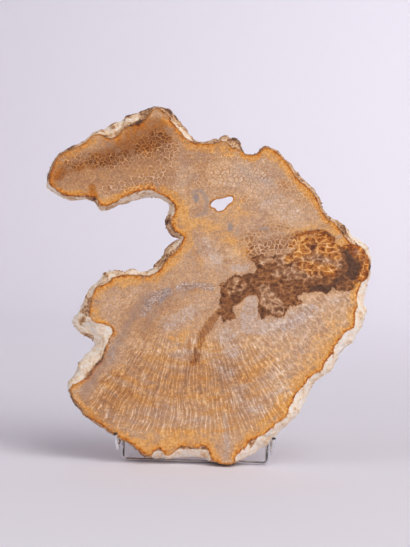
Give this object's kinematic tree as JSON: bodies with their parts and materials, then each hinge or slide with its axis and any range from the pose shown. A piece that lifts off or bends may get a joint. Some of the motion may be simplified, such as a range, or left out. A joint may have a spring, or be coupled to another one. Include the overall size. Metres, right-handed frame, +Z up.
{
  "type": "polished fossil coral slab on a display stand",
  "caption": "Hook-shaped slab sawn from a fossil coral head, polished faces and rough rind, leaning upright on a bent-rod stand.",
  "frame": {"origin": "on the floor under the middle of the whole object", "axes": "+Z up, the polished front faces -Y and leans back 6 degrees, +X to the right as seen from the front"},
  "size_m": [0.3328, 0.1422, 0.3579],
  "materials": {
    "coral": "agatized coral, sawn faces polished, rim left as rough chalky rind",
    "chrome": "bright chrome-plated rod",
    "black_plastic": "black moulded plug"
  },
  "bodies": {
    "root": {"coral_slab": "coral", "back_frame": "chrome", "rear_leg": "chrome", "left_hook": "chrome", "right_hook": "chrome", "left_cap": "black_plastic", "right_cap": "black_plastic"}
  },
  "joints": []
}
